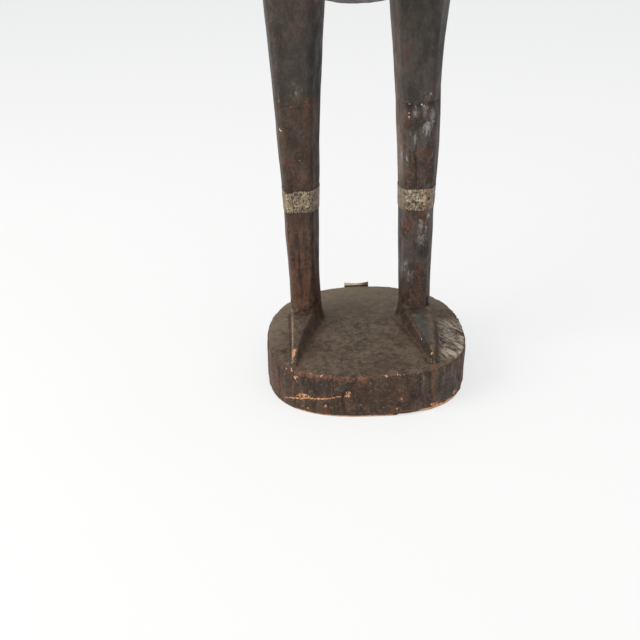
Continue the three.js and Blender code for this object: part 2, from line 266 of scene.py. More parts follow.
# Each chip: place, radius, depth and how fresh its wood is.
CHIPS = [
    ((-102.4, -139.5, 28.0), 2.6, 0.8, 0.7),
    ((-96.0, -143.4, 28.5), 2.6, 0.9, 0.8),
    ((-27.9, -162.7, 39.1), 2.8, 0.9, 0.9),
    ((-29.9, -162.4, 42.1), 2.0, 0.8, 0.8),
    ((-26.2, -162.6, 42.6), 2.2, 0.8, 0.9),
    ((-28.7, -162.8, 35.7), 2.0, 0.7, 0.8),
    ((-25.7, -162.9, 36.9), 1.8, 0.7, 0.8),
    ((-15.3, -163.4, 38.3), 3.4, 0.4, 0.45),
    ((-61.0, -158.3, 18.6), 2.3, 0.9, 1.0),
    ((-97.5, -143.7, 9.8), 2.0, 0.6, 0.6),
    ((-89.3, -148.4, 8.9), 2.0, 0.6, 0.6),
    ((54.5, -161.8, 30.2), 2.6, 1.1, 0.9),
    ((51.0, -162.3, 27.0), 1.8, 0.7, 0.7),
    ((48.4, -163.5, 11.5), 2.2, 1.0, 0.7),
    ((48.0, -163.5, 7.0), 2.2, 1.0, 0.6),
    ((34.5, -164.0, 22.4), 1.4, 0.5, 0.5),
    ((28.4, -164.6, 15.8), 1.5, 0.5, 0.6),
    ((103.1, -148.9, 8.0), 3.6, 0.8, 0.7),
    ((107.2, -146.6, 8.4), 4.0, 0.8, 0.8),
    ((111.4, -144.3, 8.0), 3.0, 0.7, 0.6),
    ((123.4, -136.1, 5.3), 3.0, 0.6, 0.5),
    ((128.7, -131.3, 5.0), 3.4, 0.7, 0.55),
    ((141.3, -117.4, 8.1), 3.4, 0.8, 0.6),
    ((143.1, -114.8, 12.9), 4.0, 0.8, 0.6),
    ((147.5, -110.0, 13.0), 2.8, 0.6, 0.45),
    ((31.5, -159.5, 70.5), 2.6, 0.8, 0.9),
    ((47.9, -156.0, 71.0), 2.6, 0.8, 0.9),
    ((43.6, -158.3, 70.8), 1.6, 0.6, 0.8),
    ((39.8, -159.3, 70.6), 1.8, 0.5, 0.7),
    ((52.7, -158.2, 70.4), 1.8, 0.5, 0.7),
    ((57.5, -157.4, 70.3), 1.4, 0.5, 0.6),
    ((63.5, -156.8, 70.2), 1.6, 0.5, 0.5),
    ((-107.6, -134.3, 56.3), 3.0, 0.8, 0.75),
    ((-104.0, -137.0, 58.5), 2.2, 0.6, 0.7),
    ((-106.0, -135.5, 51.0), 2.2, 0.6, 0.6),
    ((-99.9, -139.8, 56.5), 1.8, 0.5, 0.5),
    ((-121.3, -121.8, 65.5), 2.0, 0.6, 0.8),
    ((-112.7, -129.9, 65.4), 2.2, 0.7, 0.9),
    ((-113.5, -128.0, 69.0), 1.8, 0.5, 0.7),
    ((-84.2, -146.3, 69.5), 2.4, 0.7, 0.6),
    ((-78.0, -149.0, 70.0), 2.0, 0.6, 0.5),
    ((-67.5, -152.7, 69.5), 2.0, 0.6, 0.6),
    ((105.5, -107.5, 77.4), 2.4, 0.7, 0.9),
    ((105.0, -112.0, 75.0), 2.0, 0.5, 0.6),
    ((103.6, -117.0, 74.0), 2.2, 0.6, 0.6),
    ((103.6, -122.0, 72.0), 2.4, 0.7, 0.65),
    ((107.0, -128.0, 72.0), 2.2, 0.6, 0.6),
    ((108.3, -134.9, 72.0), 2.2, 0.7, 0.6),
    ((93.5, -63.5, 79.3), 1.6, 0.4, 0.8),
    ((-119.0, 9.0, 403.0), 2.2, 0.5, 0.0),
    ((-93.0, 7.0, 416.0), 1.8, 0.4, 0.5),
    ((-92.0, 10.0, 357.0), 1.6, 0.4, 0.3),
    ((76.0, 8.0, 427.0), 1.8, 0.6, 0.0),
    ((75.0, 9.0, 420.0), 2.0, 0.6, 0.0),
]
# Pale scars: place, radius and strength.
PALE_SPOTS = [
    ((-119.0, 9.0, 403.0), 1.5, 0.85),
    ((-120.5, 10.0, 406.0), 1.4, 0.8),
    ((-92.0, 10.0, 357.0), 1.2, 0.6),
    ((76.0, 8.0, 440.0), 1.7, 0.9),
    ((82.0, 8.0, 439.0), 1.6, 0.8),
    ((88.0, 8.0, 439.0), 1.8, 1.0),
    ((94.0, 8.0, 438.0), 1.8, 1.0),
    ((76.0, 8.0, 427.0), 1.2, 0.8),
    ((75.0, 9.0, 420.0), 1.6, 0.95),
    ((73.0, 11.0, 415.0), 1.2, 0.6),
    ((110.0, 17.0, 259.0), 2.4, 0.8),
    ((104.0, 13.0, 248.0), 1.6, 0.6),
    ((106.0, 14.0, 232.0), 1.6, 0.5),
    ((108.0, 8.0, 455.0), 3.0, 0.45),
]
# Patches of colour: place, radius across, radius up and strength.
PATCHES = {
    "ash": [
        ((84, 8, 428), 5, 12, 0.7),
        ((99, 8, 430), 5, 13, 0.8),
        ((111, 9, 419), 5, 16, 0.9),
        ((104, 8, 403), 8, 10, 1.0),
        ((85, 8, 385), 3, 16, 0.9),
        ((78, 9, 392), 2, 12, 0.5),
        ((66, 24, 358), 3, 12, 0.9),
        ((73, 13, 353), 3, 9, 0.8),
        ((108, 8, 453), 5, 6, 0.6),
        ((96, 9, 372), 4, 10, 0.4),
        ((98, 13, 244), 5, 12, 0.7),
        ((97, 13, 222), 7, 14, 0.7),
        ((109, 15, 259), 4, 9, 1.0),
        ((105, 14, 238), 3, 14, 0.8),
        ((74, 19, 171), 6, 20, 0.7),
        ((81, 15, 158), 6, 16, 0.6),
        ((-95, 5, 467), 18, 14, 0.35),
        ((-120, 6, 450), 5, 12, 0.3),
        ((82.5, 15, 108), 4, 5, 0.5),
        ((-43, -160, 56), 18, 12, 0.34),
        ((-100, -140, 52), 7, 14, 0.34),
        ((90, -152, 52), 10, 20, 0.36),
        ((60, -160, 50), 8, 14, 0.34),
        ((74, -156, 60), 9, 10, 0.3),
        ((22, -162, 58), 26, 10, 0.3),
        ((132, -127, 48), 8, 22, 0.34),
        ((-8, -164, 22), 14, 10, 0.26),
        ((100, 12, 455), 16, 22, 0.3),
        ((112, 14, 380), 8, 40, 0.3),
        ((104, 14, 300), 8, 30, 0.25),
        ((78, 12, 370), 10, 50, 0.22),
        ((104, 14, 200), 8, 50, 0.28),
        ((80, 16, 200), 10, 40, 0.22),
    ],
    "pitch": [
        ((81, 8, 397), 5, 4, 0.9),
        ((94, 8, 421), 4, 7, 0.8),
        ((75, 9, 436), 8, 6, 0.7),
        ((98, 8, 436), 16, 5, 0.7),
        ((103, 14, 193), 12, 12, 0.8),
        ((73, 21, 188), 8, 7, 0.7),
        ((91, 14, 203), 8, 8, 0.5),
        ((-101, 8, 385), 14, 16, 0.5),
        ((-85, 9, 367), 10, 16, 0.5),
        ((-95, 12, 385), 26, 70, 0.35),
        ((-75, 8, 435), 6, 8, 0.5),
        ((-101, 14, 227), 4, 18, 0.6),
        ((-93, 13, 256), 12, 8, 0.5),
        ((-73, 19, 232), 4, 26, 0.5),
        ((-75, 19, 176), 4, 30, 0.5),
        ((-76, -153, 46), 15, 14, 0.6),
        ((-20, -164, 40), 26, 16, 0.45),
        ((30, -163, 36), 24, 16, 0.5),
        ((118, -139, 36), 9, 22, 0.5),
        ((72, -157, 38), 8, 18, 0.4),
    ],
    "slate": [
        ((97, -25, 90), 10, 18, 1.0),
        ((101, -60, 86), 8, 16, 1.0),
        ((98, 2, 93), 8, 11, 0.8),
        ((-95, -20, 92), 5, 10, 0.5),
        ((-105, -70, 86), 4, 8, 0.4),
    ],
    "red": [
        ((107, -20, 91), 3, 8, 0.8),
        ((-66, 30, 130), 6, 34, 0.9),
        ((-95, 14, 110), 14, 12, 0.7),
        ((96, 9, 366), 9, 12, 0.8),
        ((70, 13, 415), 6, 16, 0.6),
        ((96, 10, 334), 9, 12, 0.7),
        ((77, 12, 334), 7, 16, 0.7),
        ((68, 20, 373), 5, 12, 0.5),
        ((76, 15, 247), 9, 16, 0.9),
        ((71, 23, 215), 6, 14, 0.5),
        ((95, 14, 168), 8, 22, 0.8),
        ((72, 17, 305), 8, 8, 0.6),
        ((106, 14, 221), 3, 8, 0.5),
        ((-67, 16, 451), 7, 20, 0.9),
        ((-76, 8, 440), 5, 14, 0.7),
        ((-66, 21, 420), 5, 16, 0.8),
        ((-119, 10, 392), 6, 20, 0.5),
        ((-108, 10, 347), 10, 18, 0.5),
        ((-97, 11, 329), 12, 14, 0.6),
        ((-109, 15, 197), 7, 26, 0.6),
        ((-82, 15, 206), 7, 18, 0.7),
        ((-92, 15, 175), 10, 26, 0.7),
        ((-90, 15, 196), 13, 48, 0.5),
        ((-106, 16, 150), 8, 24, 0.6),
        ((-74, 14, 313), 6, 8, 0.5),
        ((-117, -125, 58), 10, 12, 0.6),
        ((-6, -163, 63), 8, 8, 0.8),
        ((-90, -147, 12), 16, 8, 0.6),
        ((108, -146, 10), 14, 7, 0.7),
        ((143, -116, 12), 9, 8, 0.8),
        ((84, -157, 18), 12, 8, 0.6),
        ((62, -161, 11), 18, 6, 0.9),
        ((54, -162, 32), 6, 6, 0.6),
        ((123, -137, 10), 10, 6, 0.8),
        ((90, -153, 30), 12, 8, 0.4),
        ((-144, -98, 30), 16, 30, 1.0),
        ((-153, -68, 40), 18, 40, 1.0),
    ],
}
# Splits along the grain: top point, bottom point, depth.
SPLITS = [
    ((86.0, 8.1, 398.0), (88.6, 11.4, 302.0), 1.3),
    ((-72.7, 12.9, 376.0), (-74.3, 13.9, 318.0), 1.2),
    ((-70.0, 18.0, 250.0), (-71.0, 18.5, 160.0), 0.8),
    ((70.0, 17.5, 260.0), (71.5, 17.5, 130.0), 0.6),
    ((100.0, 12.0, 236.0), (99.0, 14.5, 150.0), 0.6),
    ((-104.0, 10.0, 330.0), (-103.0, 13.5, 262.0), 0.4),
    ((-98.0, 15.0, 255.0), (-97.0, 16.0, 140.0), 0.5),
    ((120.0, 60.0, 520.0), (116.0, 58.0, 360.0), 1.2),
    ((-94.0, 92.0, 560.0), (-92.0, 76.0, 380.0), 1.3),
    ((30.0, 108.0, 900.0), (40.0, 108.0, 700.0), 1.4),
    ((-48.0, -128.0, 800.0), (-40.0, -124.0, 640.0), 1.3),
    ((-36.0, 10.0, 1250.0), (-44.0, 20.0, 1090.0), 1.1),
]
# Deep upright tool cuts in the side of the base: place, low end, high end and width.
SIDE_CUTS = [
    ((146.8, -108.7), 30, 70, 2.0),
    ((150.5, -102.5), 20, 68, 1.8),
    ((153.5, -96.0), 34, 70, 2.2),
    ((159.0, -80.0), 14, 68, 2.0),
    ((131.8, -126.7), 40, 70, 2.2),
    ((117.0, -139.5), 26, 70, 2.6),
    ((99.5, -149.0), 26, 66, 2.2),
    ((84.5, -154.5), 30, 62, 2.0),
    ((-34.0, -162.0), 10, 40, 1.6),
    ((-134.0, -108.0), 14, 60, 2.0),
]
# Lines along the wood: a scar on the left toe, the feet's worn edges with a painted highlight,
# a brown stripe down the front of the side, and a scratch from the top over the rim.
TOE_SCAR = [(-108.6, -95.0, 83.0), (-112.5, -111.0, 78.0), (-112.8, -126.0, 73.0)]
TOE_EDGE = [
    (-113.8, 22.0, 98.0),
    (-113.4, -24.4, 91.3),
    (-112.4, -67.0, 86.2),
    (-111.8, -93.8, 83.2),
    (-112.5, -107.0, 79.2),
    (-113.0, -119.4, 75.4),
]
RIGHT_EDGE = [(78.4, 3.9, 90.5), (83.1, -17.4, 88.5), (88.9, -41.6, 86.0), (93.6, -59.6, 82.8)]
STRIPE = [
    (105.7, -138.0, 72.2),
    (108.1, -145.3, 65.8),
    (104.4, -147.3, 52.9),
    (106.7, -146.1, 30.8),
    (109.6, -145.1, 12.2),
]
SCRATCH = [(94.5, -142.4, 71.0), (83.8, -150.2, 71.0), (78.0, -155.2, 69.7), (74.3, -157.6, 51.0)]
# The head of the nail in the right strip.
NAIL = (108.8, 14.0, 287.6)
# The right foot's inner edge on the base: how far it is from the middle at each place forward.
FOOT_FORWARD = (-15, 22, 76, 104, 138)
FOOT_INNER = (66, 76, 89.5, 95.5, 102)
# The line where the bill opens, as (y, z), and the middle of each eye.
MOUTH = [
    (-98, 1386),
    (-150, 1366),
    (-205, 1292),
    (-234, 1178),
    (-231, 1048),
    (-199, 908),
    (-140, 800),
]
EYE = (-56, 1406)


def regions(points, normals):
    """How far each point belongs to each part of the carving."""
    x, y, z = points.T
    side = (z < BASE_TOP + 0.5) & (np.abs(normals[:, 2]) < 0.75)
    out = {
        "side": side * 1.0,
        "top": smooth(normals[:, 2], 0.8, 0.95) * (np.abs(z - BASE_TOP) < 3),
        "legs": smooth(z, BASE_TOP + 6, BASE_TOP + 16) * (1 - smooth(z, HIPS, HIPS + 60)),
        "body": smooth(z, HIPS - 5, HIPS + 25),
        "boards": smooth(np.abs(x), 108, 126) * (y > 35) * (z > 650)
        + (1 - smooth(np.abs(x), 108, 126)) * smooth(y, 112, 118) * (z > 640),
        "bill": smooth(-y, 128, 142) * (z > 740),
    }
    out["boards"] = np.clip(out["boards"], 0, 1)
    return out


def carve_base(skin, part):
    """Upright tool facets round the side, a scarred rim, and rough gouging on the right."""
    x, y, z = skin.points.T
    turn = np.arctan2(y - BASE_Y, x - BASE_X) * BASE_R
    hewn = 0.95 + 0.5 * smooth(x, 50, 90)
    flats = np.abs(noise(np.stack([turn, z * 0.22], 1), 24, 3))
    ripple = noise(np.stack([turn, z * 0.12], 1), 6, 4)
    depth = part["side"] * (hewn * flats + 0.2 * ripple)
    wander = noise(z[:, None], 14, 5)
    ridges = np.zeros(len(z))
    for (cx, cy), low, high, width in SIDE_CUTS:
        spot = math.atan2(cy - BASE_Y, cx - BASE_X) * BASE_R
        across = turn - spot + wander
        span = smooth(z, low - 6, low + 8) * (1 - smooth(z, high, high + 4)) * part["side"]
        depth += 1.9 * span * np.exp(-((across / width) ** 2))
        ridges = np.maximum(ridges, span * np.exp(-(((across - 1.9 * width) / 1.3) ** 2)))
    patchy = smooth(noise(skin.points, 11, 10), -0.3, 0.3)
    skin.mask("ridges", ridges * smooth(x, 60, 150) * patchy)
    rim = bump_at(z, BASE_TOP, 5) * (np.hypot(x - BASE_X, y - BASE_Y) > RIM_FROM)
    depth += 1.6 * rim * np.clip(noise(skin.points, 9, 8) + 0.4 * noise(skin.points, 4, 9), 0, 1)
    flat = np.stack([x, y], 1)
    depth += part["top"] * (0.3 + 0.4 * rough(flat, 34, 5))
    strokes = np.stack([x * 0.81 + y * 0.58, (x * 0.58 - y * 0.81) * 0.24], 1)
    gouged = smooth(x, 114, 134) * smooth(-y, -34, -4) * smooth(y, -120, -100)
    grooves = np.clip(1 - np.abs(noise(strokes, 6.5, 6)) * 2.6, 0, 1)
    depth += part["top"] * gouged * (1.5 * grooves + 0.7 * rough(flat, 12, 9))
    skin.carve(depth)
    skin.mask("gouged", part["top"] * gouged * (0.6 + 0.26 * smooth(x - 0.4 * y, 130, 176)))
    # Painted shade in the gouge grooves.
    skin.mask("hollow", part["top"] * gouged * grooves)


def notch_bottom(skin):
    """The front of the bottom edge is broken away a little to the right of the middle."""
    x, y, z = skin.points.T
    height = 3.2 * smooth(x, 47, 50) * (1 - 0.7 * smooth(x, 72, 100)) * (1 - smooth(x, 120, 150))
    deep = smooth(-y, 118, 140)
    lift = np.clip(height * deep - z, 0, None) * (z < 6)
    skin.points[:, 2] += lift


def carve_wood(skin, part):
    """Long shallow tool flats over the legs and body, and legs rounded where they meet a foot."""
    stretched = skin.points * (1, 1, 0.16)
    scoops = np.abs(noise(stretched, 19, 11)) + 0.4 * np.abs(noise(stretched, 9, 12))
    shallow = np.abs(noise(skin.points * (1, 1, 0.45), 34, 13))
    depth = part["legs"] * 0.75 * scoops + part["body"] * (0.8 * shallow + 0.35 * scoops)
    depth += 0.25 * rough(skin.points * (1, 1, 0.3), 12, 15)
    depth *= 1 - part["top"]
    x, y, z = skin.points.T
    rise = 11 * np.clip((np.abs(x) - LEG_X) / 20, -1, 1) ** 2
    foot_line = FOOT_TOP + rise
    tucked = part["legs"] * (z > FOOT_TOP + 0.4) * (y < 26)
    tucked *= 1 - smooth(z, foot_line, foot_line + 10)
    tucked *= 0.2 + 0.8 * np.clip(((np.abs(x) - LEG_X) / 15) ** 2, 0, 1)
    swollen = part["legs"] * (z > FOOT_TOP) * (1 - smooth(z, 103, 124)) * (y < 22)
    swollen *= np.clip(1 - ((np.abs(x) - LEG_X + 1) / 20) ** 2, 0, 1)
    skin.carve((depth + 2.4 * tucked**1.5 - 3.0 * swollen) * (z > BASE_TOP + 4))


def carve_head(skin):
    """Ringed eyes and the line where the bill opens."""
    x, y, z = skin.points.T
    profile = skin.points[:, 1:]
    gap, along = near_path(profile, rounded(MOUTH))
    mouth = np.exp(-((gap / 1.7) ** 2)) * (y < -94) * (z > 790) * smooth(np.abs(x), 3, 7)
    mouth *= 1 - smooth(along, 0.93, 0.99)
    away = np.linalg.norm(profile - EYE, axis=1)
    cheek = (np.abs(x) > 30) * (z > 1370)
    ring = np.exp(-(((away - EYE_RING) / 1.9) ** 2)) * cheek
    pupil = np.exp(-((away / PUPIL) ** 4)) * cheek
    boss = (1 - smooth(away, EYE_BOSS - 4.5, EYE_BOSS)) * cheek
    skin.carve(2.0 * mouth + 2.6 * ring + 2.6 * pupil - 1.6 * boss)
    skin.mask("line", 0.8 * mouth + 0.7 * ring + pupil)


def crusted(skin):
    """The thick dark skin of the upper legs has flaked away below an uneven edge."""
    x, y, z = skin.points.T
    right = x > 0
    edge = np.where(right, CRUST_RIGHT, CRUST_LEFT)
    edge = edge + 1.8 * noise(np.stack([x, y], 1), 9, 21) + 1.4 * noise(skin.points, 4, 22)
    above = smooth(z, edge - 0.7, edge + 0.7)
    leg = (z > 300) & (z < HIPS)
    flaked = smooth(noise(skin.points * (1, 1, 0.6), 10, 23), -0.1, 0.12)
    below = leg * (1 - above) * (1 - smooth(y, 18, 30))
    skin.carve(below * right * (0.9 * smooth(z, 424, 439) + 0.5 * flaked * smooth(z, 385, 425)))
    skin.carve(below * ~right * 0.3 * smooth(z, 440, 453))
    front = leg * right * (1 - smooth(y, 18, 30))
    skin.mask("crust_edge", front * np.exp(-(((z - edge - 2.2) / 1.7) ** 2)))
    # Painted shadow: a dark line just under the crust's edge on the front of the right leg.
    patchy = smooth(noise(skin.points, 8, 25), -0.6, 0.0)
    skin.mask("painted_crust_shadow", front * patchy * np.exp(-(((z - edge + 2.6) / 2.5) ** 2)))
    soft = smooth(z + 5 * noise(skin.points, 14, 24), 446, 462)
    skin.mask("crust", np.where(right, above, 0.8 * soft))


def settled(points, places):
    """Each place moved to the nearest point of the skin."""
    return [points[((points - place) ** 2).sum(1).argmin()] for place in places]


def age_marks(skin):
    """The crack, splits, chips and scars."""
    points = skin.points
    jitter = np.stack([noise(points, 5, 31 + k) for k in range(3)], 1)
    moved = points + 0.7 * jitter
    depth = np.zeros(len(points))
    fresh = np.zeros(len(points))
    dark = np.zeros(len(points))
    for path, wide, bare in ((CRACK, 1.45, 1.0), (SPLINTER, 1.15, 0.85)):
        gap, along = near_path(points + 0.4 * jitter, settled(points, path))
        width = wide * np.sin(np.pi * np.clip(along * 0.9 + 0.08, 0, 1)) ** 0.4
        depth += 1.5 * np.clip(1 - (gap / width.clip(0.4)) ** 2, 0, 1)
        torn = bare * (1.1 - 0.15 * smooth(along, 0.66, 0.85)) + 0.15 * noise(points, 6, 35)
        fresh = np.maximum(fresh, np.exp(-((gap / width) ** 2)) * torn)
    for place, radius, sunk, bare in CHIPS:
        away = np.linalg.norm(moved - settled(points, [place])[0], axis=1) / radius
        away *= 1 + 0.5 * noise(points, 2.6, 41)
        depth += sunk * np.clip(1 - away**2, 0, 1) ** 0.6
        fresh = np.maximum(fresh, bare * smooth(-away, -1.1, -0.6))
    for top, bottom, sunk in SPLITS:
        wander = 1.6 * noise(points[:, 2:], 26, int(abs(top[0])))
        gap, along = near_path(points + wander[:, None] * (1, 0, 0), [top, bottom])
        line = np.exp(-((gap / 1.15) ** 2)) * np.sin(np.pi * along) ** 0.4
        depth += sunk * line
        dark = np.maximum(dark, 0.8 * line)
    gap, along = near_path(moved, TOE_SCAR)
    scar = smooth(-gap, -4.2, -2.8)
    depth += 1.3 * scar
    fresh = np.maximum(fresh, scar * (0.76 - 0.42 * smooth(along, 0.15, 0.6)))
    skin.carve(depth)
    skin.mask("fresh", fresh)
    skin.mask("dark", dark)
    pale = np.zeros(len(points))
    for place, radius, strength in PALE_SPOTS:
        away = np.linalg.norm(moved - settled(points, [place])[0], axis=1) / radius
        pale = np.maximum(pale, strength * smooth(-away, -1.1, -0.7))
    gap, along = near_path(points + 0.5 * jitter, settled(points, SCRATCH))
    pale = np.maximum(pale, (0.5 - 0.12 * along) * np.exp(-((gap / 1.3) ** 2)))
    skin.mask("pale", pale)
    for tone, patches in PATCHES.items():
        amount = np.zeros(len(points))
        for place, across, up, strength in patches:
            away = ((points - place) / (across, across * 2, up)) ** 2
            amount = np.maximum(amount, strength * np.exp(-0.8 * away.sum(1) ** 1.3))
        skin.mask(tone, amount)
    gap, along = near_path(points, STRIPE)
    skin.mask("stripe", np.exp(-((gap / 2.8) ** 2)))
    # Pale lines on the feet's edges: wear, with a painted highlight.
    edge = np.zeros(len(points))
    for path, width, strength in ((TOE_EDGE, 1.5, 1.0), (RIGHT_EDGE, 1.3, 0.6)):
        gap, along = near_path(points, settled(points, path))
        edge = np.maximum(edge, strength * np.exp(-((gap / width) ** 2)))
    skin.mask("edge_wear_and_highlight", edge)


def wear(skin):
    """Edges that hands and feet have rubbed, and hollows darkened with dirt and painted shade."""
    normals = skin.normals()
    mean = np.stack([skin.around(axis) for axis in skin.points.T], 1)
    bend = -((mean - skin.points) * normals).sum(1)
    for _ in range(4):
        bend = (bend + skin.around(bend)) / 2
    skin.mask("worn", smooth(bend, 0.02, 0.2))
    # Darker in hollows: dirt, and painted shade.
    skin.mask("hollow_dirt_and_shade", smooth(-bend, 0.03, 0.25))


def tones_by_place(skin, part, normals):
    """Masks by where a point is and which way it faces, painted light and shade among them."""
    x, y, z = skin.points.T
    side, top = part["side"], part["top"]
    skin.mask("end_grain", top)
    skin.mask("side", side)
    outside = smooth(np.hypot(x - BASE_X, y - BASE_Y), 80, 150)
    # Painted highlight: the top lighter toward its back and its rim.
    top_back_highlight = np.maximum(outside * smooth(y - 0.7 * x, 10, 120), 0.8 * smooth(y, 10, 120))
    skin.mask("top_back_highlight", top * top_back_highlight)
    inner = 61 + 7.5 * (1 - smooth(z, 350, 430))
    lit = (x > 0) * smooth(z, 300, 330) * (1 - smooth(x, inner - 2, inner + 1))
    lit *= smooth(-y, -60, -44)
    skin.mask("lit", lit * (1 - 0.5 * smooth(z, 370, 430)) * (z < HIPS))
    # Painted shade: darker on leg facets turned from the window light and on the right foot's
    # inner side.
    painted_shade = part["legs"] * smooth(normals[:, 0], 0.35, 0.85) * (z < 560)
    painted_shade *= np.where(x > 0, 0.45 + 0.55 * smooth(z, 240, 330), 1)
    flank = (z > BASE_TOP + 1.5) * (1 - smooth(z, FOOT_TOP - 4, FOOT_TOP + 4))
    flank *= smooth(-normals[:, 0], 0.3, 0.6)
    skin.mask("painted_shade", np.maximum(painted_shade, flank * (x > 0) * (y < 12)))
    cold = part["legs"] * np.where(x > 0, smooth(z, 110, 180), 0.5 * smooth(z, 290, 340))
    skin.mask("cold", np.maximum(cold, side * smooth(x, 50, 100)))
    skin.mask("warm", part["legs"] * (x < 0) * (1 - smooth(z, 235, 290)))
    foot = (z > BASE_TOP + 3) * (1 - smooth(z, FOOT_TOP - 2, FOOT_TOP + 6))
    foot *= np.abs(normals[:, 2]) > 0.8
    ankle = ((np.abs(x) - LEG_X + 1) / 20) ** 2 + ((y - 10) / 9.5) ** 2
    foot *= smooth(ankle, 0.8, 1.15)
    beside = x - np.interp(-y, FOOT_FORWARD, FOOT_INNER)
    cove = smooth(beside, -8.5 + 0.03 * -y, -4.0) * (1 - smooth(beside, 3, 8)) * (z < 76) * top
    skin.mask("cove", cove * smooth(-y, -24, -4) * (1 - smooth(-y, 118, 136)))
    skin.mask("foot_top", foot)
    front = smooth(x, -122, -104) * (1 - smooth(x, 8, 40)) * (y < 0)
    skin.mask("rim_red", side * smooth(z, 50, 66) * (0.3 + 0.7 * front))
    bead = np.exp(-(((z - 70) / 1.3) ** 2)) * (np.hypot(x - BASE_X, y - BASE_Y) > RIM_FROM)
    bead = bead * (1 - top) * (0.25 + 0.75 * front) * (y < 60)
    skin.mask("rim_bead", np.maximum(bead, 0.55 * flank * (x > 0) * smooth(-y, 44, 80)))
    above = z - 3.5 * smooth(x, 46, 51) * (1 - smooth(x, 138, 152))
    low = (1 - smooth(above, 2.2, 5.6)) * (above < 7) * (y < 60)
    lower = smooth(x, -130, -90) * (1 - smooth(x, 38, 52)) + 0.9 * smooth(x, 66, 90)
    skin.mask("rim_low", low * (0.3 + 0.7 * lower))


def carved_figure():
    """The log figure's skin, worked and marked, with most of its faces below the hips."""
    mesh = with_modifier(joined_copy("hornbill"), "REMESH", mode="VOXEL", voxel_size=SKIN * MM)
    skin = Skin(mesh)
    part = regions(skin.points, skin.normals())
    even = (1 - 0.8 * part["bill"]) * (1 - 0.9 * part["boards"])
    even *= 1 - 0.5 * smooth(skin.points[:, 2], 1300, 1350)
    skin.relax(0.03 + 0.47 * part["body"] * even, 60)
    skin.relax(np.full(len(skin.points), 0.5), 2)
    normals = skin.normals()
    carve_wood(skin, part)
    carve_base(skin, part)
    notch_bottom(skin)
    carve_head(skin)
    crusted(skin)
    age_marks(skin)
    wear(skin)
    tones_by_place(skin, part, normals)
    skin.points[:, 2] = np.clip(skin.points[:, 2], 0, None)
    skin.write()
    skin.finish_masks()
    faces = sum(len(p.vertices) - 2 for p in mesh.polygons)
    kept = skin.points[:, 2] < HIPS
    return with_modifier(mesh, "DECIMATE", kept, ratio=min(1, FIGURE_FACES / faces))


# ---------------------------------------------------------------- sheet metal


def strip_mesh(name, grid, place, thick):
    """A thin strip: place(across, up) gives its outer points, their outward ways and its masks."""
    columns, rows = grid
    u, v = np.meshgrid(np.linspace(0, 1, columns), np.linspace(0, 1, rows), indexing="ij")
    outer, out, masks = place(u.ravel(), v.ravel())
    inner = outer - out * thick
    count = columns * rows
    verts = np.concatenate([outer, inner]) * MM
    index = np.arange(count).reshape(columns, rows)
    a, b, c, d = index[:-1, :-1], index[1:, :-1], index[1:, 1:], index[:-1, 1:]
    front = np.stack([a, b, c, d], -1).reshape(-1, 4)
    back = front[:, ::-1] + count
    rim = np.concatenate([index[:, 0], index[-1, 1:], index[-2::-1, -1], index[0, -2:0:-1]])
    nxt = np.roll(rim, -1)
    edge = np.stack([nxt, rim, rim + count, nxt + count], 1)
    mesh = bpy.data.meshes.new(name)
    mesh.from_pydata(verts.tolist(), [], np.concatenate([front, back, edge]).tolist())
    for mask, values in masks.items():
        attribute = mesh.attributes.new(mask, "FLOAT", "POINT")
        attribute.data.foreach_set("value", np.tile(values, 2).astype(np.float32))
    mesh.validate()
    return mesh


def stamped(along, up, height, seed):
    """The strip's stamped scrolls between two rows of beads: 1 in a groove, 0 on the ground."""
    flat = np.stack([along, up], 1)
    curls = noise(flat, 5.2, seed) + 0.35 * noise(flat, 2.4, seed + 1)
    lines = np.exp(-((curls / 0.17) ** 2))
    rings = np.exp(-(((np.abs(curls) - 0.5) / 0.11) ** 2))
    broken = smooth(noise(flat, 6.0, seed + 2), -0.5, -0.1)
    pits = smooth(noise(flat, 2.3, seed + 3), 0.3, 0.5)
    pits *= smooth(noise(flat, 8, seed + 4), -0.3, 0.3)
    scrolls = np.clip(lines * broken + 0.8 * rings + 0.9 * pits, 0, 1)
    between = 0.5 - 0.5 * np.cos(2 * np.pi * along / BEAD_STEP)
    for level, strength in ((BEAD_ROW, 1.0), (height - BEAD_ROW, 0.6)):
        row = np.exp(-(((up - level) / 1.1) ** 4))
        scrolls = scrolls * (1 - row) + row * strength * (0.15 + 0.85 * between)
    return scrolls


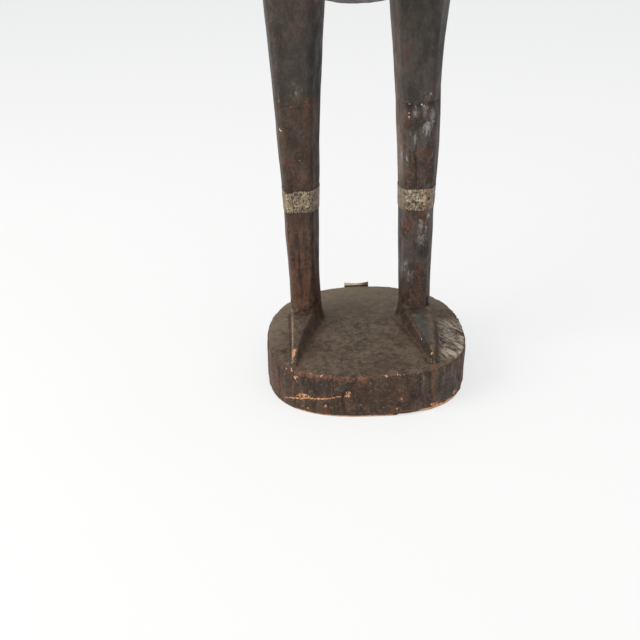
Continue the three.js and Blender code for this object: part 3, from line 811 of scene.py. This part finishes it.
def leg_strip(name, side, bottom, tree, seed):
    """A strip wrapped once round a leg and over its own end."""
    # The angle it starts at and how far it goes over its own end, the angles between which its
    # face is bright and outside which its sides get painted shade, how much its end is cut short,
    # and how deep it is stamped.
    left = side < 0
    start, overlap = (232, 0.04) if left else (305, 0.06)
    first, last = (227, 301) if left else (235, 290)
    short, sunk = (2.9, 0.28) if left else (0.8, 0.4)

    def place(u, v):
        turn = start + u * 360 * (1 + overlap)
        wave = 0.5 * noise(np.stack([u * 200, 0 * u], 1), 22, seed)
        cut = np.maximum(1 - smooth(u, overlap, overlap + 0.01), smooth(u, 0.95, 0.965))
        z = bottom + v * (STRIP_HEIGHT - short * cut) + wave * (0.4 + 0.6 * v)
        outer = np.empty((len(u), 3))
        out = np.empty((len(u), 3))
        for i, (angle, level) in enumerate(zip(np.radians(turn), z)):
            way = Vector((math.cos(angle), math.sin(angle), 0))
            centre = Vector((side * LEG_X, LEG_Y, level)) * MM
            hit = tree.ray_cast(centre + way * (BESIDE * MM), -way)[0]
            outer[i] = np.array(hit) / MM
            out[i] = way
        angle = turn % 360
        run, rise = u * STRIP_RUN, v * STRIP_HEIGHT
        flat = np.stack([run, rise], 1)
        faces = smooth(angle, first - 3, first + 5) * (1 - smooth(angle, last - 4, last + 4))
        stamp = stamped(run, rise, STRIP_HEIGHT, seed) * (0.55 + 0.45 * faces)
        lift = 0.75 + 0.8 * smooth(u, 0.95, 0.98)
        lift = lift + 0.22 * rough(flat, 12, seed + 6) - sunk * stamp
        # dull: painted shade on the sides of the strip that turn from the light.
        masks = {"stamp": stamp, "dull": 1 - faces}
        if not left:
            # A painted glint down the strip's face, and gold round the nail.
            glint = np.exp(-(((angle - 290.5) / 2.2) ** 2))
            masks["gold_and_glint"] = glint + 0.4 * np.exp(-(((angle - 304) / 9) ** 2))
            away = np.linalg.norm(outer - NAIL, axis=1)
            masks["nail"] = smooth(-away, -3.2, -2.4)
            # Painted highlights: a sparkle on the flat ground of the strip's face.
            sparkle = smooth(noise(flat, 2.2, seed + 9), 0.1, 0.5)
            masks["painted_highlight"] = 0.3 * faces * (1 - stamp) * sparkle
            lift = lift + 0.6 * np.clip(1 - (away / 3.1) ** 2, 0, 1) ** 0.5
        return outer + out * lift[:, None], out, masks

    return strip_mesh(name, STRIP_GRID, place, STRIP_THICK)


def scrap_strip(name, tree, seed):
    """The scrap on the back rim: flat on the side of the base, its free edge curled."""
    low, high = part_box("rim_patch")
    x0, x1 = low.x / MM, high.x / MM
    z0, height = low.z / MM, (high.z - low.z) / MM

    def place(u, v):
        x = x0 + (x1 - x0) * u
        level = min(z0 + 0.5 * height, BASE_TOP - 6)
        back = np.empty(len(u))
        for i, across in enumerate(x):
            behind = Vector((across, BEHIND, level)) * MM
            back[i] = tree.ray_cast(behind, Vector((0, -1, 0)))[0].y / MM
        free = smooth(v, 0.72, 1)
        z = z0 + v * (height - 2.6 * np.sin(np.pi * u) ** 0.8 * v**4)
        y = back + 1.75 + 0.12 * rough(np.stack([x, z], 1), 9, seed) - 0.5 * free
        stamp = stamped(x, v * height, height, seed)
        # The curled edge above the rim is painted as a reflection, near white to the left and gold
        # to the right; the dark line along the rim is a painted shadow.
        shine = smooth(z, BASE_TOP + 0.8, BASE_TOP + 1.8)
        masks = {
            "stamp": stamp * (1 - shine) + 0.7 * (np.abs(z - BASE_TOP) < 0.9),
            "gold_and_glint": np.maximum(0.25, shine * smooth(u, 0.45, 0.95)),
            "painted_highlight": shine * (1 - smooth(u, 0.5, 0.9)),
        }
        way = np.tile((0.0, 1.0, 0.0), (len(u), 1))
        return np.stack([x, y - 0.25 * stamp, z], 1), way, masks

    return strip_mesh(name, SCRAP_GRID, place, SCRAP_THICK)


# ---------------------------------------------------------------- finishes


class Field:
    """A quantity that varies over a surface: one socket, which sums can be written with."""

    def __init__(self, finish, socket):
        self.finish = finish
        self.socket = socket

    def __add__(self, other):
        return self.finish.sum("ADD", self, other)

    def __sub__(self, other):
        return self.finish.sum("SUBTRACT", self, other)

    def __rsub__(self, other):
        return self.finish.sum("SUBTRACT", other, self)

    def __mul__(self, other):
        return self.finish.sum("MULTIPLY", self, other)

    __radd__ = __add__
    __rmul__ = __mul__


class Finish:
    """One material and the nodes that make it."""

    def __init__(self, name, **constants):
        self.material = bpy.data.materials.new(name)
        self.material.use_nodes = True
        self.tree = self.material.node_tree
        self.tree.nodes.clear()
        self.shader = self.tree.nodes.new("ShaderNodeBsdfPrincipled")
        output = self.tree.nodes.new("ShaderNodeOutputMaterial")
        self.tree.links.new(self.shader.outputs[0], output.inputs[0])
        self.feed(self.shader, constants)
        self.place = self.node("ShaderNodeTexCoord", {}, {}, "Object")

    def feed(self, node, sockets):
        for key, value in sockets.items():
            if isinstance(value, Field):
                self.tree.links.new(value.socket, node.inputs[key])
            else:
                node.inputs[key].default_value = value

    def node(self, kind, settings, sockets, out=0):
        """Any node, by its type, its settings and its sockets: the field that comes out."""
        made = self.tree.nodes.new(kind)
        for key, value in settings.items():
            setattr(made, key, value)
        self.feed(made, sockets)
        return Field(self, made.outputs[out])

    def sum(self, operation, first, second):
        return self.node("ShaderNodeMath", {"operation": operation}, {0: first, 1: second})

    def mask(self, name):
        return self.node("ShaderNodeAttribute", {"attribute_name": name}, {}, "Fac")

    def turned(self, turn, stretch):
        """The place on the surface, turned about the upright and then stretched."""
        size = tuple(1 / share for share in stretch)
        sockets = {"Vector": self.place, "Rotation": (0, 0, turn), "Scale": size}
        return self.node("ShaderNodeMapping", {"vector_type": "TEXTURE"}, sockets)

    def noise(self, scale, stretch, detail, roughness, bend=0.0, turn=0.0):
        """Cloudy noise over the surface, finer as its scale goes up."""
        sockets = {
            "Vector": self.turned(turn, stretch),
            "Scale": scale,
            "Detail": detail,
            "Roughness": roughness,
            "Distortion": bend,
        }
        return self.node("ShaderNodeTexNoise", {}, sockets)

    def step(self, value, low, high, start=0.0, end=1.0):
        """An even turn from start to end as a value goes from low to high."""
        sockets = {0: value, 1: low, 2: high, 3: start, 4: end}
        return self.node("ShaderNodeMapRange", {"interpolation_type": "SMOOTHSTEP"}, sockets)

    def mix(self, share, first, second):
        """Two colours mixed by a share."""
        sockets = {0: share, 6: first, 7: second}
        return self.node("ShaderNodeMix", {"data_type": "RGBA"}, sockets, 2)

    def blend(self, value, low, high, first, second):
        """Two colours that change over as a value goes from low to high."""
        return self.mix(self.step(value, low, high), colour(first), colour(second))

    def coats(self, shade, *layers):
        """A shade with coats of colour over it, each laid on by its share."""
        for share, tint in layers:
            shade = self.mix(share, shade, colour(tint) if isinstance(tint, str) else tint)
        return shade

    def tone(self, shade, level):
        """A colour made lighter or darker by a level."""
        sockets = {"Vector": shade, "Scale": level}
        return self.node("ShaderNodeVectorMath", {"operation": "SCALE"}, sockets)

    def bump(self, height, distance, strength):
        sockets = {"Height": height, "Distance": distance, "Strength": strength}
        return self.node("ShaderNodeBump", {}, sockets)


def colour(text):
    """A colour as a shader takes it, from how it looks on a screen."""
    shares = [int(text[i : i + 2], 16) / 255 for i in (0, 2, 4)]
    return tuple(c / 12.92 if c < 0.04045 else ((c + 0.055) / 1.055) ** 2.4 for c in shares) + (1,)


def carved_wood():
    """Dark, handled wood with its grain upright, worn brown on its edges."""
    f = Finish("carved_wood", **{"IOR": 1.45, "Specular IOR Level": 0.3})
    clouds = f.noise(20, (1, 1, 0.55), 5, 0.62, 0.6)
    mottle = f.noise(78, (1, 1, 0.62), 5, 0.7, 0.5)
    streaks = f.noise(130, (1, 1, 0.13), 4, 0.62, 0.3)
    fibre = f.noise(430, (1, 1, 0.1), 3, 0.6)
    fine = f.noise(300, (1, 1, 0.75), 4, 0.7)
    grain = f.noise(560, (1, 1, 0.6), 3, 0.7)
    specks = f.noise(230, (1, 1, 0.8), 2, 0.5, 0.3)
    side, top = f.mask("side"), f.mask("end_grain")
    bloom, gouged = f.mask("ash"), f.mask("gouged")

    # The handled wood: black brown, grey brown and red brown in uneven patches.
    drift = clouds * 0.42 + mottle * 0.43 + streaks * 0.15
    grey = f.step(f.noise(30, (1, 1, 0.6), 5, 0.65, 0.8), 0.5, 0.62)
    cold = f.step(f.noise(46, (1, 1, 0.55), 5, 0.7, 0.8), 0.45, 0.6) * f.mask("cold")
    pitch = f.step(f.mask("pitch") * 0.6 + mottle, 0.6, 0.98)
    flecks = f.step(f.noise(170, (1, 1, 1.3), 4, 0.7, 0.4), 0.53, 0.64)
    rust = f.step(f.mask("red") * 0.45 + mottle * 0.6 + fine * 0.4, 0.58, 0.95)
    handled = f.coats(
        f.blend(drift, 0.41, 0.55, "2b221c", "403026"),
        (f.step(drift, 0.49, 0.62) * 0.7, "583c2e"),
        (grey * 0.5, "3a332d"),
        (f.step(mottle, 0.53, 0.66) * 0.45, "634d3d"),
        (cold * 0.42, "5a5856"),
        (f.step(streaks, 0.42, 0.6) * f.mask("warm") * 0.3, "84563f"),
        (f.step(streaks, 0.55, 0.68) * 0.35, "1f1a16"),
        (f.step(fibre, 0.5, 0.68) * 0.22, "735a48"),
        (f.step(specks, 0.66, 0.75) * 0.4, "8f7058"),
        (pitch * 0.75, "211c19"),
        (flecks * (0.16 + 0.22 * side), "76634f"),
        (rust * 0.58, f.blend(fine, 0.4, 0.62, "4e362c", "6f4b3c")),
    )

    # The thicker, greyer skin above.
    skin = f.coats(
        f.blend(drift, 0.42, 0.58, "32302d", "47423d"),
        (f.step(clouds, 0.53, 0.64) * 0.45, "4a352b"),
    )

    # The top of the base: end grain rubbed grey brown, with fine scratches across it.
    scratches = f.noise(300, (0.4, 1, 1), 4, 0.65, 0.6)
    smears = f.noise(36, (0.9, 1, 1), 6, 0.7, 0.5)
    cloudy = f.noise(125, (1, 0.8, 1), 5, 0.75, 0.4)
    flat = f.coats(
        f.blend(smears, 0.38, 0.6, "40372f", "594c41"),
        (f.step(scratches, 0.5, 0.66) * 0.42, "7b6d5d"),
        (f.step(cloudy, 0.5, 0.62) * 0.52, "705c49"),
        (f.step(cloudy, 0.5, 0.37) * 0.5, "352c25"),
        (f.step(clouds, 0.55, 0.66) * 0.5, "473427"),
    )
    strokes = f.noise(250, (0.24, 1, 1), 4, 0.65, 1.2, math.radians(-50))
    ridges = f.noise(95, (0.3, 1, 1), 4, 0.62, 1.0, math.radians(-58))
    raised = strokes * 0.5 + ridges * 0.5

    # Rubbed edges, dirt, scars and pale bloom over all of it, and painted light and shade: a
    # shadow under the crust, a lit facet, highlights on the top and gouges, shade in hollows.
    rub = f.mask("worn") * f.step(fine * 0.4 + mottle * 0.6, 0.42, 0.6)
    foot = f.blend(cloudy, 0.42, 0.6, "453c33", "6b5e4f")
    bared = f.step(f.mask("rim_red") * 0.36 + mottle * 0.7 + fine * 0.6, 0.9, 1.12)
    bead = f.step(f.mask("rim_bead") * 0.5 + fine * 0.6 + grain * 0.4, 0.94, 1.06)
    edge = f.step(f.mask("rim_low") * 0.8 + fine * 0.7, 0.85, 1.1)
    mist = f.step(bloom * 0.32 + f.noise(170, (1, 1, 0.5), 5, 0.82, 0.9), 0.63, 0.83)
    shade = f.coats(
        handled,
        (f.mask("crust") * 0.8, skin),
        # Painted shadow under the crust's edge.
        (f.mask("painted_crust_shadow") * 0.75, "1d1815"),
        (f.mask("crust_edge") * f.step(fine, 0.42, 0.6) * 0.7, "644a3b"),
        (top, flat),
        # Painted highlight toward the back and rim of the top.
        (f.mask("top_back_highlight") * 0.52, "827666"),
        # Pale residue with painted highlights on the gouge ridges, and painted shade between them
        # and in the grooves.
        (gouged * f.step(raised, 0.44, 0.57) * 0.95, "bbb0a2"),
        (gouged * f.step(raised, 0.48, 0.39) * 0.65, "38312b"),
        (f.mask("hollow") * 0.35, "3a322b"),
        (f.mask("lit") * (0.05 + 0.6 * mottle), "957c66"),
        (rub * (0.3 + 0.3 * side), "7d5841"),
        (f.mask("foot_top") * 0.75, foot),
        (f.mask("cove") * f.step(mottle, 0.3, 0.55) * 0.8, "33251c"),
        (f.mask("slate") * f.step(mottle, 0.28, 0.52) * 0.8, "3c4242"),
        # Wear and a painted highlight along the feet's edges.
        (f.mask("edge_wear_and_highlight") * f.step(fine, 0.36, 0.56) * 0.8, "9c8a74"),
        (bared * 0.72, "7d5443"),
        (bead * 0.8, "b98a68"),
        (edge * 0.85, "cfa17c"),
        (f.mask("ridges") * f.step(fine, 0.34, 0.54) * 0.5, "8c7864"),
        # Dirt and painted shade in the hollows.
        (f.mask("hollow_dirt_and_shade") * 0.7, "1c1714"),
        (f.mask("line") * 0.7, "191512"),
        (f.step(bloom, 0.1, 0.8) * 0.36, "585551"),
        (mist * f.step(bloom, 0.02, 0.25) * 0.62, "a3a2a0"),
        (f.mask("stripe") * 0.6, "73503b"),
        (f.step(f.mask("pale") + fine * 0.3, 0.45, 0.75), "cfc8bd"),
        (f.mask("dark"), "120f0e"),
    )
    shade = f.tone(shade, 0.25 + fine * 0.75 + grain * 0.75)
    # Painted shade on leg facets turned from the light and on the right foot's inner side.
    shade = f.tone(shade, 1 - f.mask("painted_shade") * 0.38)
    raw = f.blend(grain, 0.4, 0.6, "864f33", "d6a683")
    bare = f.step(f.mask("fresh") * 0.95 + grain * 0.7 + fine * 0.5, 0.98, 1.16)
    dull = f.step(f.noise(60, (1, 1, 0.5), 3, 0.6), 0.35, 0.65, 0.44, 0.64)
    upright = mottle * 0.8 + streaks * 0.2 + fibre * 0.15 + fine * 0.45 + specks * 0.15
    across = scratches * 0.3 + fine * 0.3 + cloudy * 0.5 + gouged * raised * 4.2
    sockets = {
        "Base Color": f.mix(bare, shade, raw),
        "Roughness": dull + top * 0.12 + side * 0.14 + bare * 0.25 + mist * 0.15,
        "Normal": f.bump(upright * (1 - top) + across * top, 0.0016, 0.75),
    }
    f.feed(f.shader, sockets)
    return f.material


def sheet_metal():
    """Thin old sheet, stamped with scrolls that hold dirt."""
    f = Finish("sheet_metal", **{"IOR": 1.5})
    stamp, painted_highlight = f.mask("stamp"), f.mask("painted_highlight")
    clouds = f.noise(110, (1, 1, 1), 4, 0.65, 0.3)
    specks = f.noise(700, (1, 1, 1), 3, 0.65)
    painted_side_shade = f.blend(clouds, 0.4, 0.6, "6c5d4d", "57463a")
    shade = f.coats(
        f.blend(clouds, 0.38, 0.6, "ab9a80", "8a7961"),
        (f.step(clouds, 0.54, 0.68) * 0.5, "96764c"),
        (f.step(specks, 0.5, 0.66) * 0.5, "665743"),
        (f.step(specks, 0.42, 0.3) * 0.6, "cbbd9f"),
        # Painted shade on the sides of a leg strip that turn from the light.
        (f.mask("dull") * 0.6, painted_side_shade),
        # Golden sheet, with a painted glint down the right strip and on the scrap's curled edge.
        (f.step(f.mask("gold_and_glint"), 0.1, 0.9) * 0.75, "a87c4c"),
        (f.step(stamp + specks * 0.35, 0.4, 0.75) * 0.92, "2a231b"),
        # Painted highlights: sparkle on the right strip, and a reflection of white on the scrap's
        # edge.
        (painted_highlight, "f2e9d6"),
        (f.mask("nail"), "2a2a2e"),
    )
    sockets = {
        "Base Color": shade,
        "Metallic": f.step(stamp + clouds * 0.4, 0.25, 0.7, 0.5, 0.1) * (1 - painted_highlight * 0.7),
        "Roughness": f.step(specks * 0.5 + clouds * 0.5, 0.4, 0.62, 0.4, 0.62),
        "Normal": f.bump(specks * 0.3 - stamp * 0.7, 0.0006, 0.6),
    }
    f.feed(f.shader, sockets)
    return f.material


# ---------------------------------------------------------------- the scene

wood = carved_wood()
metal = sheet_metal()
figure_mesh = carved_figure()
add_piece("carved_hornbill", figure_mesh, "hornbill", wood)

# The strips lie on the wood as it came out of the carving.
corners = [v.co for v in figure_mesh.vertices]
loops = [tuple(p.vertices) for p in figure_mesh.polygons]
surface = BVHTree.FromPolygons(corners, loops)
for name, node, side, bottom, seed in (
    ("left_leg_strip", "left_leg_band", -1, 270.0, 71),
    ("right_leg_strip", "right_leg_band", 1, 268.6, 81),
):
    strip = leg_strip(name, side, bottom, surface, seed)
    add_piece(name, strip, node, metal)
scrap = scrap_strip("rim_strip", surface, 61)
add_piece("rim_strip", scrap, "rim_patch", metal)

# The floor runs far past the frame on every side.
FLOOR_REACH = 14
floor_mesh = bpy.data.meshes.new("floor")
corners = [(FLOOR_REACH * x, FLOOR_REACH * y, 0) for x, y in ((-1, -1), (1, -1), (1, 1), (-1, 1))]
floor_mesh.from_pydata(corners, [], [(0, 1, 2, 3)])
floor = bpy.data.objects.new("floor", floor_mesh)
bpy.context.scene.collection.objects.link(floor)
paper = Finish("floor_paper", **{"Base Color": (0.26, 0.262, 0.268, 1), "Roughness": 0.9})
paper.feed(paper.shader, {"Emission Color": (0.985, 0.995, 1, 1), "Emission Strength": 0.645})
floor_mesh.materials.append(paper.material)

world = bpy.data.worlds.new("studio")
bpy.context.scene.world = world
world.use_nodes = True
world.node_tree.nodes["Background"].inputs["Color"].default_value = (0.98, 0.975, 0.96, 1)
world.node_tree.nodes["Background"].inputs["Strength"].default_value = 0.62


def soft_light(name, place, aim, size, power):
    """A large square light that points at a place."""
    data = bpy.data.lights.new(name, "AREA")
    data.size = size
    data.energy = power
    data.color = (1, 0.95, 0.88)
    light = bpy.data.objects.new(name, data)
    light.location = place
    light.rotation_euler = (Vector(aim) - Vector(place)).to_track_quat("-Z", "Y").to_euler()
    bpy.context.scene.collection.objects.link(light)


soft_light("window", (-2.6, -1.3, 1.9), (0, 0, 0.35), 2.2, 85)
soft_light("ceiling", (0.4, -0.6, 3.4), (0, 0, 0), 2.6, 40)

# The camera stands in front, above and a little to the left. It looks straight ahead and down,
# and is rolled a little. Its focal length and frame are in pixels of the picture.
PITCH, ROLL = math.radians(26.67), math.radians(-1.5)
FOCAL, FRAME = 1000, 640
SENSOR = 36
STAND = (-0.0668, -1.4712, 0.8257)
ahead = Vector((0, math.cos(PITCH), -math.sin(PITCH)))
level = Vector((1, 0, 0))
upright = level.cross(ahead)
right = math.cos(ROLL) * level + math.sin(ROLL) * upright
above = math.cos(ROLL) * upright - math.sin(ROLL) * level
data = bpy.data.cameras.new("camera")
data.sensor_width = SENSOR
data.lens = SENSOR * FOCAL / FRAME
camera = bpy.data.objects.new("camera", data)
facing = Matrix((right, above, -ahead)).transposed().to_4x4()
camera.matrix_world = Matrix.Translation(STAND) @ facing
bpy.context.scene.collection.objects.link(camera)
bpy.context.scene.camera = camera
bpy.context.scene.view_settings.view_transform = "Standard"
